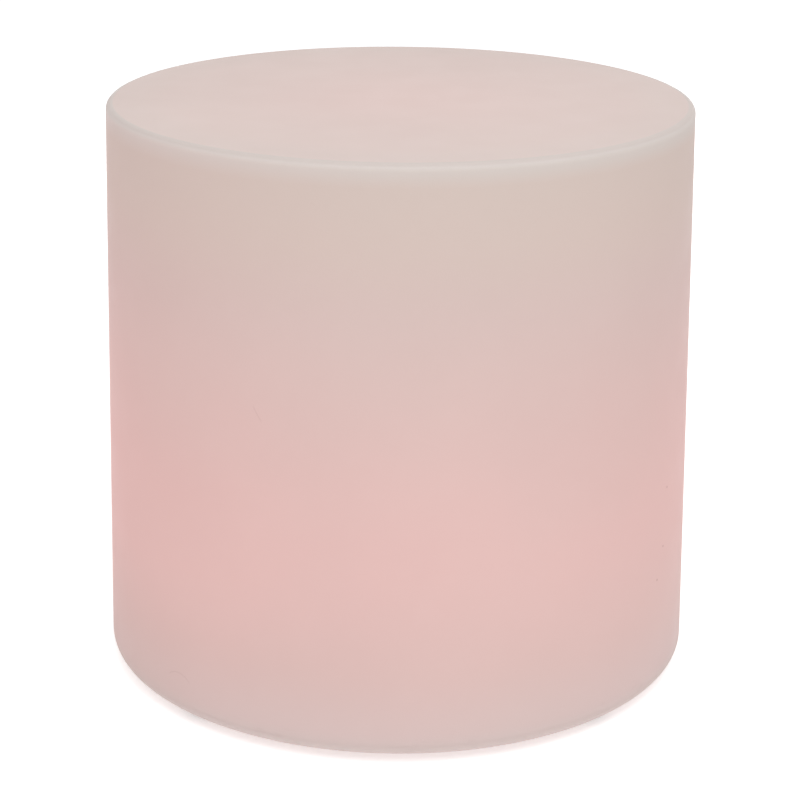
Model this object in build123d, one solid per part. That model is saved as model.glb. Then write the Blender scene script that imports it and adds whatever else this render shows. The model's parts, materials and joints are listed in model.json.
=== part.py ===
from build123d import *

import math
import os

# A light-up drum stool. A hollow moulded drum is both the seat and the lamp shade. A rechargeable
# lamp unit goes up through a round opening in the drum's underside and is held there by screws.
# Sizes are in millimetres. The origin is on the floor under the middle of the drum, and +Z is up.

# Drum
top_diameter = 400.0
base_diameter = 415.0
shell_height = 395.0
shell_wall = 4.0
top_edge_radius = 4.5
base_edge_radius = 11.0
ring_width = 48.0  # the flat ring that the drum stands on, up to the recess
recess_depth = 28.0
recess_edge_radius = 6.0
least_inner_radius = 1.0  # of the inside corners that are tighter than the wall is thick

# Rubber feet, pushed into holes in the ring
foot_count = 4
foot_stand = 5.0  # how far a foot lifts the drum off the floor
foot_diameter = 20.0
foot_edge_radius = 1.2
foot_pocket_depth = 1.0
foot_stem_diameter = 8.0
foot_barb_diameter = 11.0
foot_barb_height = 5.0
foot_fit = 0.15

# Fixing of the lamp unit to the drum
module_screw_count = 6
insert_diameter = 7.0
insert_length = 9.0
insert_boss_diameter = 14.0
insert_boss_cover = 3.0  # skin left above an insert
insert_fit = 0.05
module_screw_diameter = 4.0
module_screw_length = 13.0
module_screw_head_diameter = 8.0
module_screw_head_height = 2.6
screw_hole_fit = 0.3
thread_fit = 0.05
seat_inner_width = 11.0  # from the opening's edge to the screw circle
seat_outer_width = 10.0  # from the screw circle to the plate's edge
gasket_thickness = 2.0
gasket_setback = 1.0

# Case of the lamp unit
plate_thickness = 3.0
plate_edge_radius = 1.2
tray_wall = 3.0
opening_gap = 1.5
dome_boss_diameter = 8.0
boss_merge = 0.8  # how far a boss runs into the wall beside it
dome_screw_count = 4
dome_seal_thickness = 1.5
dome_wall = 2.0
dome_flange_thickness = 2.5
dome_rise = 40.0
small_screw_diameter = 3.0
small_screw_length = 7.0
small_screw_head_diameter = 5.5
small_screw_head_height = 2.0
small_screw_room = 1.0  # hole left beyond a small screw's tip
head_gap = 0.5
dome_collar_diameter = 6.0  # the raised ring around a dome screw's hole
dome_collar_fit = 0.15

# Form of every screw, as shares of its head's height, its head's width and its shank's width
head_round_share = 0.4
head_root_share = 0.25
cross_depth_share = 0.55
cross_length_share = 0.55
cross_width_share = 0.13
tip_share = 0.2

# Battery
cell_count = 2
cell_diameter = 18.4
cell_length = 65.0
cell_gap = 0.2
cell_cap_diameter = 5.6
cell_cap_height = 0.6
cell_edge_radius = 0.7
wrap_thickness = 0.3
wrap_fit = 0.1
tab_width = 8.0
tab_thickness = 0.3
guard_board_thickness = 1.0
guard_board_height = 12.0
guard_board_setback = 2.3  # from the pack's sides
guard_board_gap = 0.5
foam_thickness = 1.0
foam_setback = 4.6  # from the outer cells' sides
pack_offset = 1.0  # from the drum's middle to the near side of the pack
clamp_width = 12.0
clamp_thickness = 2.0
clamp_fit = 0.3
clamp_foot_reach = 8.0
clamp_boss_height = 6.5

# Board with the lights
board_thickness = 1.6
board_clearance = 12.0  # from the tallest thing below to the board
board_edge = 2.0
board_gap = 4.0
post_diameter = 7.0
post_offset = 24.0
led_size = 5.0
led_height = 1.6
led_window_diameter = 4.0
led_window_depth = 0.5
led_gel_fit = 0.05
led_outer_count = 12
led_inner_count = 6
led_outer_setback = 6.0
led_inner_radius = 22.0
receiver_width = 5.6
receiver_depth = 4.4
receiver_height = 6.8
receiver_edge_radius = 0.4
receiver_lens_diameter = 4.2
receiver_lens_height = 4.2  # from the board to the lens's middle
chip_length = 10.0
chip_width = 4.0
chip_height = 1.7
chip_pin_count = 8  # on each side
chip_pin_pitch = 1.2
chip_pin_width = 0.4
chip_pin_thickness = 0.2
chip_pin_reach = 1.0
chip_notch_diameter = 1.0
chip_notch_depth = 0.3
chip_x = -14.0
part_row_gap = 5.0
transistor_count = 3
transistor_length = 2.9
transistor_width = 1.6
transistor_height = 1.1
transistor_pitch = 5.0
capacitor_count = 2
capacitor_diameter = 6.3
capacitor_height = 7.0
capacitor_edge_radius = 0.6
capacitor_pitch = 9.0
capacitor_x = 14.0
resistor_length = 2.0
resistor_width = 1.25
resistor_height = 0.6
resistor_setback = 13.0

# Connectors and leads under the board
header_length = 9.2
header_width = 6.0
header_height = 7.0
header_wall = 0.7
plug_fit = 0.1
plug_proud = 2.5
connector_zone = 18.0  # room for the connectors between the pack and the controls
lead_pitch = 3.9
lead_diameter = 1.4
lead_bend = 5.0
battery_lead_bend = 2.2
lead_gap = 1.5  # between the battery's leads and the posts
battery_lead_height = 8.0

# Charging socket under a rubber flap
jack_flange_diameter = 14.0
jack_flange_thickness = 2.0
jack_barrel_diameter = 11.0
jack_barrel_rise = 7.0  # above the roof of the well
jack_bore_diameter = 6.3
jack_bore_depth = 9.0
jack_pin_diameter = 2.0
jack_pin_setback = 2.0
jack_pin_fit = 0.05
jack_mouth_gap = 0.8
washer_thickness = 0.8
barrel_fit = 0.15
jack_nut_across_flats = 14.0
jack_nut_thickness = 2.5
terminal_width = 1.6
terminal_thickness = 0.5
terminal_height = 4.0
cover_diameter = 21.0
cover_strap_width = 14.0
cover_hinge_reach = 13.0  # from the socket's axis to the hinge
cover_hinge_gap = 0.2
cover_gap = 0.5
cover_nipple_diameter = 5.0
cover_nipple_entry = 1.0
cover_grip_height = 0.8
cover_grip_width = 2.0
cover_grip_length = 7.0
cover_grip_setback = 4.0  # from the flap's free edge to the grip's middle
anchor_length = 10.0
anchor_stem_diameter = 4.0
anchor_stem_fit = 0.2
anchor_barb_diameter = 6.0
anchor_barb_height = 2.0
well_wall = 2.4

# Power button
bezel_diameter = 20.0
bezel_thickness = 2.5
bezel_edge_radius = 0.8
button_barrel_diameter = 16.0
button_lip = 2.0  # the front rim that keeps the cap in
button_head_diameter = 11.0
button_head_proud = 2.0
button_head_edge_radius = 0.6
button_shoulder_diameter = 13.2
button_shoulder_thickness = 1.5
button_slide_fit = 0.15
button_rest_gap = 0.1
button_travel = 1.5
spring_room = 5.0
spring_diameter = 7.6
spring_wire_diameter = 0.5
spring_turns = 3.5
spring_end_gap = 0.1
web_thickness = 1.0
stem_diameter = 3.2
contact_diameter = 9.0
contact_thickness = 0.6
contact_gap = 0.1
rear_plug_thickness = 3.0
rear_plug_fit = 0.05
button_nut_across_flats = 20.0
button_nut_thickness = 3.0
control_gap = 6.0  # between the button's nut and the well of the socket

# Charge light
pipe_diameter = 3.0
pipe_head_diameter = 5.0
pipe_head_height = 0.8
pipe_fit = 0.1
pipe_setback = 8.0  # from the board's edge to the light
indicator_length = 2.0
indicator_width = 1.25
indicator_height = 0.8

# Places that follow from the sizes
ring_z = foot_stand
top_z = ring_z + shell_height
panel_z = ring_z + recess_depth
top_radius = top_diameter / 2
base_radius = base_diameter / 2
recess_radius = base_radius - ring_width
plate_top_z = panel_z - gasket_thickness
plate_z = plate_top_z - plate_thickness

pack_length = cell_length + 2 * (cell_cap_height + tab_thickness)
pack_end_x = pack_length / 2 + guard_board_gap + guard_board_thickness
pack_width = cell_count * cell_diameter + (cell_count - 1) * cell_gap + 2 * (wrap_fit + wrap_thickness)
pack_height = cell_diameter + 2 * (wrap_fit + wrap_thickness)
pack_z = plate_top_z + foam_thickness
pack_y = pack_offset + pack_width / 2
pack_axis_z = pack_z + pack_height / 2

cover_thickness = plate_thickness
cover_radius = cover_diameter / 2
jack_mouth_z = plate_z + cover_thickness + jack_mouth_gap
well_roof_z = jack_mouth_z + jack_flange_thickness + washer_thickness
well_top_z = well_roof_z + well_wall
jack_rear_z = well_top_z + jack_barrel_rise
anchor_end = cover_hinge_reach + cover_thickness / 2 + cover_hinge_gap + anchor_length
well_reach = cover_radius + cover_gap + well_wall
well_back = anchor_end + cover_gap + well_wall

bezel_top_z = plate_z - washer_thickness
bezel_z = bezel_top_z - bezel_thickness
shoulder_z = bezel_z + button_lip + button_rest_gap
shoulder_top_z = shoulder_z + button_shoulder_thickness
web_z = shoulder_top_z + spring_room
web_top_z = web_z + web_thickness
contact_z = web_top_z + contact_gap
contact_top_z = contact_z + contact_thickness
rear_plug_z = contact_top_z + button_travel + contact_gap
button_rear_z = rear_plug_z + rear_plug_thickness
button_nut_radius = button_nut_across_flats / math.sqrt(3)

controls_width = 2 * button_nut_radius + control_gap + well_back + well_reach
button_x = button_nut_radius - controls_width / 2
jack_x = controls_width / 2 - well_reach
controls_y = pack_offset - connector_zone - well_reach
connector_y = pack_offset - connector_zone / 2
battery_connector_x = pack_end_x + battery_lead_bend + (lead_pitch + lead_diameter) / 2

highest_below_board = max(pack_z + pack_height, jack_rear_z, button_rear_z)
board_z = highest_below_board + board_clearance
board_top_z = board_z + board_thickness
lead_space = battery_lead_bend + lead_pitch + lead_diameter + lead_gap
post_x = pack_end_x + lead_space + post_diameter / 2
board_radius = math.hypot(post_x, post_offset) + post_diameter / 2 + board_edge
header_z = board_z - header_height
plug_z = header_z - plug_proud

dome_boss_circle = board_radius + board_gap + dome_boss_diameter / 2
tray_inner_radius = dome_boss_circle + dome_boss_diameter / 2 - boss_merge
tray_radius = tray_inner_radius + tray_wall
tray_top_z = board_z
dome_z = tray_top_z + dome_seal_thickness
dome_flange_top_z = dome_z + dome_flange_thickness
dome_radius = dome_boss_circle - small_screw_head_diameter / 2 - head_gap
opening_radius = tray_radius + opening_gap
insert_circle = opening_radius + seat_inner_width
plate_radius = insert_circle + seat_outer_width
pipe_y = -(board_radius - pipe_setback)
clamp_near_y = pack_offset - clamp_fit - clamp_thickness - clamp_foot_reach / 2
clamp_far_y = pack_offset + pack_width + clamp_fit + clamp_thickness + clamp_foot_reach / 2
clamp_foot_z = plate_top_z + clamp_boss_height


def bar(radius, low, high, x=0.0, y=0.0):
    """A round bar along Z."""
    return Pos(x, y, (low + high) / 2) * Cylinder(radius, high - low)


def tube(inner, outer, low, high, x=0.0, y=0.0):
    """A round ring along Z."""
    return bar(outer, low, high, x, y) - bar(inner, low, high, x, y)


def block(length, width, low, high, x=0.0, y=0.0):
    """A box with its length along X and its width along Y."""
    return Pos(x, y, (low + high) / 2) * Box(length, width, high - low)


def around(count, radius, start=0.0):
    """Points spaced evenly on a circle, from the angle start in degrees."""
    angles = [math.radians(start + 360.0 * i / count) for i in range(count)]
    return [(radius * math.cos(a), radius * math.sin(a)) for a in angles]


def row(count, pitch, middle=0.0):
    """Positions spaced evenly along a line."""
    return [middle + (i - (count - 1) / 2) * pitch for i in range(count)]


def turned(corners):
    """A solid turned about Z. Each corner of its outline is a radius, a height and a rounding."""
    outline = Polygon(*[(r, z) for r, z, rounding in corners], align=None)
    for r, z, rounding in corners:
        if rounding > 0:
            corner = outline.vertices().sort_by_distance((r, z, 0))[0]
            outline = fillet(corner, rounding)
    return revolve(Plane.XZ * outline, Axis.Z)


def group(solids):
    """Separate solids that share one node."""
    return Compound(solids)


def screw(diameter, length, head_diameter, head_height):
    """A pan-head screw with its seat at the origin, its shank along +Z and a cross in its head."""
    head = turned([
        (0, 0, 0),
        (head_diameter / 2, 0, 0),
        (head_diameter / 2, -head_height, head_round_share * head_height),
        (0, -head_height, 0),
    ])
    tip = tip_share * diameter
    root = head_root_share * head_height
    shank = turned([
        (0, -root, 0),
        (diameter / 2, -root, 0),
        (diameter / 2, length - tip, 0),
        (diameter / 2 - tip, length, 0),
        (0, length, 0),
    ])
    cross_length = cross_length_share * head_diameter
    cross_width = cross_width_share * head_diameter
    cross_floor = -(1 - cross_depth_share) * head_height
    cross = block(cross_length, cross_width, -head_height, cross_floor)
    cross += block(cross_width, cross_length, -head_height, cross_floor)
    return head + shank - cross


def module_screw():
    """The larger screw, which holds the lamp unit to the drum."""
    return screw(
        module_screw_diameter, module_screw_length, module_screw_head_diameter, module_screw_head_height
    )


def small_screw():
    """The screw used inside the lamp unit."""
    return screw(
        small_screw_diameter, small_screw_length, small_screw_head_diameter, small_screw_head_height
    )


def screws_down(places, seat_z):
    """Small screws driven down from a seat."""
    return group([Pos(x, y, seat_z) * Rot(180, 0, 0) * small_screw() for x, y in places])


def screw_hole(x, y, top_z):
    """The hole that a small screw cuts its thread in, from the top of a boss."""
    depth = small_screw_length + small_screw_room
    return bar(small_screw_diameter / 2 + thread_fit, top_z - depth, top_z, x, y)


def hex_nut(across_flats, thickness, hole_radius, low, x, y):
    """A hexagon nut that lies on the height low."""
    hexagon = RegularPolygon(across_flats / 2, 6, major_radius=False)
    nut = extrude(hexagon, thickness)
    return Pos(x, y, low) * nut - bar(hole_radius, low, low + thickness, x, y)


def lead(points, bends):
    """An insulated lead that runs through the points, with a bend at each inner one."""
    path = FilletPolyline(*points, radius=bends)
    start = Plane(origin=path @ 0, z_dir=path % 0)
    return sweep(start * Circle(lead_diameter / 2), path=path)


foot_places = around(foot_count, (recess_radius + base_radius) / 2, 180.0 / foot_count)
insert_places = around(module_screw_count, insert_circle)
dome_screw_places = around(dome_screw_count, dome_boss_circle)
post_places = [(sx * post_x, sy * post_offset) for sx in (1, -1) for sy in (1, -1)]
clamp_places = [(0.0, clamp_near_y), (0.0, clamp_far_y)]
cell_places = row(cell_count, cell_diameter + cell_gap, pack_y)
header_places = [(jack_x, connector_y), (button_x, connector_y), (battery_connector_x, connector_y)]


def make_shell():
    """The drum: one skin that runs over the top, down the wall and into the recess."""
    lean = math.atan2(base_radius - top_radius, shell_height)
    inset = shell_wall / math.cos(lean)
    drift = shell_wall * math.tan(lean)
    inner_top_edge = max(top_edge_radius - shell_wall, least_inner_radius)
    inner_base_edge = max(base_edge_radius - shell_wall, least_inner_radius)
    inner_recess_edge = max(recess_edge_radius - shell_wall, least_inner_radius)
    outside = turned([
        (0, top_z, 0),
        (top_radius, top_z, top_edge_radius),
        (base_radius, ring_z, base_edge_radius),
        (recess_radius, ring_z, recess_edge_radius),
        (recess_radius, panel_z, recess_edge_radius),
        (0, panel_z, 0),
    ])
    hollow = turned([
        (0, top_z - shell_wall, 0),
        (top_radius + drift - inset, top_z - shell_wall, inner_top_edge),
        (base_radius - drift - inset, ring_z + shell_wall, inner_base_edge),
        (recess_radius + shell_wall, ring_z + shell_wall, inner_recess_edge),
        (recess_radius + shell_wall, panel_z + shell_wall, recess_edge_radius + shell_wall),
        (0, panel_z + shell_wall, 0),
    ])
    shell = outside - hollow
    boss_top_z = panel_z + insert_length + insert_boss_cover
    for x, y in insert_places:
        shell += bar(insert_boss_diameter / 2, panel_z + shell_wall / 2, boss_top_z, x, y)
    for x, y in insert_places:
        shell -= bar(insert_diameter / 2 + insert_fit, panel_z, panel_z + insert_length + insert_fit, x, y)
    shell -= bar(opening_radius, panel_z, panel_z + shell_wall)
    for x, y in foot_places:
        shell -= bar(foot_diameter / 2 + foot_fit, ring_z, ring_z + foot_pocket_depth, x, y)
        shell -= bar(foot_stem_diameter / 2 + foot_fit, ring_z, ring_z + shell_wall, x, y)
    return shell


def make_inserts():
    """Brass threads moulded into the drum for the lamp unit's screws."""
    bore = module_screw_diameter / 2 + thread_fit
    return group([
        tube(bore, insert_diameter / 2, panel_z, panel_z + insert_length, x, y) for x, y in insert_places
    ])


def make_foot(x, y):
    """A rubber foot: a pad in a shallow pocket, with a barbed stem through the drum's skin."""
    pad_top = ring_z + foot_pocket_depth
    barb_z = ring_z + shell_wall + foot_fit
    barb_top = barb_z + foot_barb_height
    foot = turned([
        (0, 0, 0),
        (foot_diameter / 2, 0, foot_edge_radius),
        (foot_diameter / 2, pad_top, 0),
        (foot_stem_diameter / 2, pad_top, 0),
        (foot_stem_diameter / 2, barb_z, 0),
        (foot_barb_diameter / 2, barb_z, 0),
        (foot_stem_diameter / 2, barb_top, 0),
        (0, barb_top, 0),
    ])
    return Pos(x, y, 0) * foot


def make_gasket():
    """The soft ring between the lamp unit's plate and the drum."""
    gasket = tube(opening_radius + gasket_setback, plate_radius - gasket_setback, plate_top_z, panel_z)
    for x, y in insert_places:
        gasket -= bar(module_screw_diameter / 2 + screw_hole_fit, plate_top_z, panel_z, x, y)
    return gasket


def cover_outline(spread):
    """The outline of the flap and its anchor about the socket's axis, grown by spread."""
    cap = Circle(cover_radius + spread)
    length = anchor_end + spread
    strap = Pos(-length / 2, 0) * Rectangle(length, cover_strap_width + 2 * spread)
    return cap + strap


def make_base():
    """The lamp unit's case: a plate that closes the opening and a tray that stands on it."""
    base = turned([
        (0, plate_z, 0),
        (plate_radius, plate_z, plate_edge_radius),
        (plate_radius, plate_top_z, 0),
        (0, plate_top_z, 0),
    ])
    base += tube(tray_inner_radius, tray_radius, plate_top_z - boss_merge, tray_top_z)
    for x, y in dome_screw_places:
        base += bar(dome_boss_diameter / 2, plate_top_z - boss_merge, tray_top_z, x, y)
    for x, y in dome_screw_places:
        base += bar(dome_collar_diameter / 2, tray_top_z - boss_merge, dome_z, x, y)
    for x, y in post_places:
        base += bar(post_diameter / 2, plate_top_z - boss_merge, board_z, x, y)
    for x, y in clamp_places:
        base += bar(clamp_foot_reach / 2, plate_top_z - boss_merge, clamp_foot_z, x, y)
    well = extrude(cover_outline(cover_gap + well_wall), well_top_z - plate_top_z + boss_merge)
    base += Pos(jack_x, controls_y, plate_top_z - boss_merge) * well
    pocket = extrude(cover_outline(cover_gap), well_roof_z - plate_z)
    base -= Pos(jack_x, controls_y, plate_z) * pocket
    base -= bar(jack_barrel_diameter / 2 + barrel_fit, well_roof_z, well_top_z, jack_x, controls_y)
    stem_x = jack_x - anchor_end + anchor_length / 2
    base -= bar(anchor_stem_diameter / 2 + anchor_stem_fit, well_roof_z, well_top_z, stem_x, controls_y)
    base -= bar(button_barrel_diameter / 2 + barrel_fit, plate_z, plate_top_z, button_x, controls_y)
    base -= bar(pipe_diameter / 2 + pipe_fit, plate_z, plate_top_z, 0, pipe_y)
    for x, y in insert_places:
        base -= bar(module_screw_diameter / 2 + screw_hole_fit, plate_z, plate_top_z, x, y)
    for x, y in dome_screw_places:
        base -= screw_hole(x, y, dome_z)
    for x, y in post_places:
        base -= screw_hole(x, y, board_z)
    for x, y in clamp_places:
        base -= screw_hole(x, y, clamp_foot_z)
    return base


def make_dome():
    """The clear cap over the lights, with the flange that its screws hold."""

    def arc(radius, rise, low):
        half = math.atan2(rise, radius)
        ball = (radius**2 + rise**2) / (2 * rise)
        middle = (ball * math.sin(half), low + rise - ball + ball * math.cos(half))
        return ThreePointArc((radius, low), middle, (0, low + rise))

    inner = dome_radius - dome_wall
    low = dome_flange_top_z
    flange = [(inner, low), (inner, dome_z), (tray_radius, dome_z), (tray_radius, low), (dome_radius, low)]
    outline = [
        Polyline(*flange),
        arc(dome_radius, dome_rise, low),
        Line((0, low + dome_rise), (0, low + dome_rise - dome_wall)),
        arc(inner, dome_rise - dome_wall, low),
    ]
    dome = revolve(Plane.XZ * make_face(outline), Axis.Z)
    for x, y in dome_screw_places:
        dome -= bar(small_screw_diameter / 2 + screw_hole_fit, dome_z, low, x, y)
    return dome


def make_dome_seal():
    """The soft ring between the tray's rim and the clear cap, open around the screw bosses."""
    seal = tube(tray_inner_radius, tray_radius, tray_top_z, dome_z)
    for x, y in dome_screw_places:
        seal -= bar(dome_collar_diameter / 2 + dome_collar_fit, tray_top_z, dome_z, x, y)
    return seal


def make_board():
    """The round board that carries the lights."""
    board = bar(board_radius, board_z, board_top_z)
    for x, y in post_places:
        board -= bar(small_screw_diameter / 2 + screw_hole_fit, board_z, board_top_z, x, y)
    return board


def led_places():
    """Places of the lights and the angle that each is turned by."""
    outer_radius = board_radius - led_outer_setback
    half_step = 180.0 / led_outer_count
    outer = around(led_outer_count, outer_radius, half_step)
    inner = around(led_inner_count, led_inner_radius)
    return [(x, y, math.degrees(math.atan2(y, x))) for x, y in outer + inner]


def make_leds():
    """The light packages, each a white case with a round window in its top."""
    window_z = board_top_z + led_height - led_window_depth
    case = block(led_size, led_size, board_top_z, board_top_z + led_height)
    case -= bar(led_window_diameter / 2, window_z, board_top_z + led_height)
    return group([Pos(x, y, 0) * Rot(0, 0, turn) * case for x, y, turn in led_places()])


def make_led_gel():
    """The clear fill in each light's window."""
    window_z = board_top_z + led_height - led_window_depth
    radius = led_window_diameter / 2 - led_gel_fit
    top_z = board_top_z + led_height
    return group([bar(radius, window_z, top_z, x, y) for x, y, turn in led_places()])


def make_resistors():
    """Chip resistors, one beside each outer light."""
    radius = board_radius - resistor_setback
    step = 360.0 / led_outer_count
    places = around(led_outer_count, radius, step / 2)
    chip = block(resistor_width, resistor_length, board_top_z, board_top_z + resistor_height)
    return group([
        Pos(x, y, 0) * Rot(0, 0, math.degrees(math.atan2(y, x))) * chip for x, y in places
    ])


def make_receiver():
    """The receiver for a hand control, standing in the middle of the board."""
    body = block(receiver_depth, receiver_width, board_top_z, board_top_z + receiver_height)
    body = fillet(body.edges().filter_by(Axis.Z), receiver_edge_radius)
    lens_z = board_top_z + receiver_lens_height
    lens = Pos(receiver_depth / 2, 0, lens_z) * Sphere(receiver_lens_diameter / 2)
    return body + lens


def make_chip():
    """The control chip on the underside of the board."""
    body = block(chip_length, chip_width, board_z - chip_height, board_z, chip_x, pack_y)
    low = board_z - chip_height
    notch = bar(chip_notch_diameter / 2, low, low + chip_notch_depth)
    return body - Pos(chip_x - chip_length / 2, pack_y, 0) * notch


def make_chip_pins():
    """The bent legs along both sides of the control chip."""
    foot = block(chip_pin_width, chip_pin_reach, board_z - chip_pin_thickness, board_z)
    upright = block(chip_pin_width, chip_pin_thickness, board_z - chip_height / 2, board_z)
    pins = []
    for side in (1, -1):
        for x in row(chip_pin_count, chip_pin_pitch, chip_x):
            face_y = pack_y + side * (chip_width + chip_pin_thickness) / 2
            foot_y = pack_y + side * (chip_width + chip_pin_reach) / 2
            pins.append(Pos(x, foot_y, 0) * foot + Pos(x, face_y, 0) * upright)
    return group(pins)


def make_transistors():
    """The switching transistors, one for each colour."""
    y = pack_y - chip_width / 2 - part_row_gap
    low = board_z - transistor_height
    places = row(transistor_count, transistor_pitch, chip_x)
    return group([block(transistor_length, transistor_width, low, board_z, x, y) for x in places])


def make_capacitors():
    """The round capacitors, standing down from the board."""
    low = board_z - capacitor_height
    can = turned([
        (0, low, 0),
        (capacitor_diameter / 2, low, capacitor_edge_radius),
        (capacitor_diameter / 2, board_z, 0),
        (0, board_z, 0),
    ])
    return group([Pos(x, pack_y, 0) * can for x in row(capacitor_count, capacitor_pitch, capacitor_x)])


def make_headers():
    """The sockets on the underside of the board that the leads plug into."""
    shroud = block(header_length, header_width, header_z, board_z)
    hollow_length = header_length - 2 * header_wall
    hollow_width = header_width - 2 * header_wall
    shroud -= block(hollow_length, hollow_width, header_z, board_z - header_wall)
    return group([Pos(x, y, 0) * shroud for x, y in header_places])


def make_plugs():
    """The plugs on the leads, each held in its socket."""
    length = header_length - 2 * (header_wall + plug_fit)
    width = header_width - 2 * (header_wall + plug_fit)
    return group([
        block(length, width, plug_z, board_z - header_wall - plug_fit, x, y) for x, y in header_places
    ])


def make_cells():
    """The round cells, lying side by side along X, each with a raised cap at one end."""
    cells = []
    for i, y in enumerate(cell_places):
        can = Cylinder(cell_diameter / 2, cell_length)
        can = fillet(can.edges().filter_by(GeomType.CIRCLE), cell_edge_radius)
        cap = Cylinder(cell_cap_diameter / 2, cell_length + 2 * cell_cap_height)
        turn = 90 if i % 2 == 0 else -90
        cells.append(Pos(0, y, pack_axis_z) * Rot(0, turn, 0) * (can + cap))
    return group(cells)


def pack_outline(spread):
    """The outline around the cells, seen along X, grown by spread."""
    radius = cell_diameter / 2 + spread
    middle = cell_places[-1] - cell_places[0]
    return SlotCenterToCenter(middle, 2 * radius)


def along_x(outline, length):
    """Extrudes an outline, drawn with its first direction along Y, to both sides of the pack's middle."""
    section = Plane(origin=(0, pack_y, pack_axis_z), x_dir=(0, 1, 0), z_dir=(1, 0, 0))
    return extrude(section * outline, length / 2, both=True)


def make_wrap():
    """The shrunk sleeve around the cells."""
    outer = along_x(pack_outline(wrap_fit + wrap_thickness), cell_length)
    return outer - along_x(pack_outline(wrap_fit), cell_length)


def make_tabs():
    """The nickel strips that join the cells at their ends."""
    length = cell_places[-1] - cell_places[0] + tab_width
    x = cell_length / 2 + cell_cap_height + tab_thickness / 2
    low = pack_axis_z - tab_width / 2
    high = pack_axis_z + tab_width / 2
    strip = block(tab_thickness, length, low, high, -x, pack_y)
    pads = [block(tab_thickness, tab_width, low, high, x, y) for y in cell_places]
    return group([strip] + pads)


def make_guard_board():
    """The small board at the pack's end that guards the cells."""
    x = pack_end_x - guard_board_thickness / 2
    low = pack_axis_z - guard_board_height / 2
    width = pack_width - 2 * guard_board_setback
    return block(guard_board_thickness, width, low, low + guard_board_height, x, pack_y)


def make_foam():
    """The soft pad that the pack lies on."""
    width = cell_places[-1] - cell_places[0] + cell_diameter - 2 * foam_setback
    return block(cell_length, width, plate_top_z, pack_z, 0, pack_y)


def make_clamp():
    """The strap over the pack, with a foot at each side for its screw."""
    inner = pack_outline(wrap_fit + wrap_thickness + clamp_fit)
    outer = pack_outline(wrap_fit + wrap_thickness + clamp_fit + clamp_thickness)
    strap = along_x(outer, clamp_width)
    foot_length = clamp_far_y - clamp_near_y + clamp_foot_reach
    foot_y = (clamp_far_y + clamp_near_y) / 2
    strap += block(clamp_width, foot_length, clamp_foot_z, clamp_foot_z + clamp_thickness, 0, foot_y)
    strap -= along_x(inner, clamp_width)
    below = pack_width + pack_height
    strap -= block(clamp_width, foot_length + below, plate_top_z - below, clamp_foot_z, 0, foot_y)
    for x, y in clamp_places:
        hole = small_screw_diameter / 2 + screw_hole_fit
        strap -= bar(hole, clamp_foot_z, clamp_foot_z + clamp_thickness, x, y)
    return strap


def make_jack():
    """The charging socket: a flange below the well's roof and a barrel up through it."""
    jack = bar(jack_flange_diameter / 2, jack_mouth_z, jack_mouth_z + jack_flange_thickness)
    jack += bar(jack_barrel_diameter / 2, jack_mouth_z, jack_rear_z)
    jack -= bar(jack_bore_diameter / 2, jack_mouth_z, jack_mouth_z + jack_bore_depth)
    jack -= bar(jack_pin_diameter / 2 + jack_pin_fit, jack_mouth_z, jack_rear_z)
    return Pos(jack_x, controls_y, 0) * jack


def terminal(x, y, low, high, spread=0.0):
    """A flat upright tab for a lead, grown by spread."""
    return block(terminal_width + 2 * spread, terminal_thickness + 2 * spread, low, high, x, y)


def make_jack_contacts():
    """The socket's centre pin, joined to one of the two tabs for its leads."""
    sleeve_x, pin_x = row(2, lead_pitch, jack_x)
    pin = bar(jack_pin_diameter / 2, jack_mouth_z + jack_pin_setback, jack_rear_z, jack_x, controls_y)
    bridge_top_z = jack_rear_z + terminal_thickness
    bridge_x = (jack_x + pin_x) / 2
    pin += bar(jack_pin_diameter / 2, jack_rear_z, bridge_top_z, jack_x, controls_y)
    pin += block(lead_pitch / 2, terminal_thickness, jack_rear_z, bridge_top_z, bridge_x, controls_y)
    pin += terminal(pin_x, controls_y, jack_rear_z, jack_rear_z + terminal_height)
    return group([pin, terminal(sleeve_x, controls_y, jack_rear_z, jack_rear_z + terminal_height)])


def make_cover():
    """The rubber flap over the socket, with a round edge on its hinge line and a small sealing plug."""
    cap = Circle(cover_radius)
    strap = Pos(-cover_hinge_reach / 2, 0) * Rectangle(cover_hinge_reach, cover_strap_width)
    flap = extrude(cap + strap, cover_thickness)
    edge = Rot(90, 0, 0) * Cylinder(cover_thickness / 2, cover_strap_width)
    flap += Pos(-cover_hinge_reach, 0, cover_thickness / 2) * edge
    nipple_top = cover_thickness + jack_mouth_gap + cover_nipple_entry
    flap += bar(cover_nipple_diameter / 2, cover_thickness / 2, nipple_top)
    grip_x = cover_radius - cover_grip_setback
    flap += block(cover_grip_width, cover_grip_length, -cover_grip_height, cover_thickness / 2, grip_x)
    return Pos(jack_x, controls_y, plate_z) * flap


def make_anchor():
    """The fixed end of the flap, with a barbed stem through the well's roof."""
    middle = -anchor_end + anchor_length / 2
    anchor = block(anchor_length, cover_strap_width, plate_z, well_roof_z, middle)
    barb_z = well_top_z + anchor_stem_fit
    anchor += bar(anchor_stem_diameter / 2, plate_z, barb_z, middle)
    anchor += bar(anchor_barb_diameter / 2, barb_z, barb_z + anchor_barb_height, middle)
    return Pos(jack_x, controls_y, 0) * anchor


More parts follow.
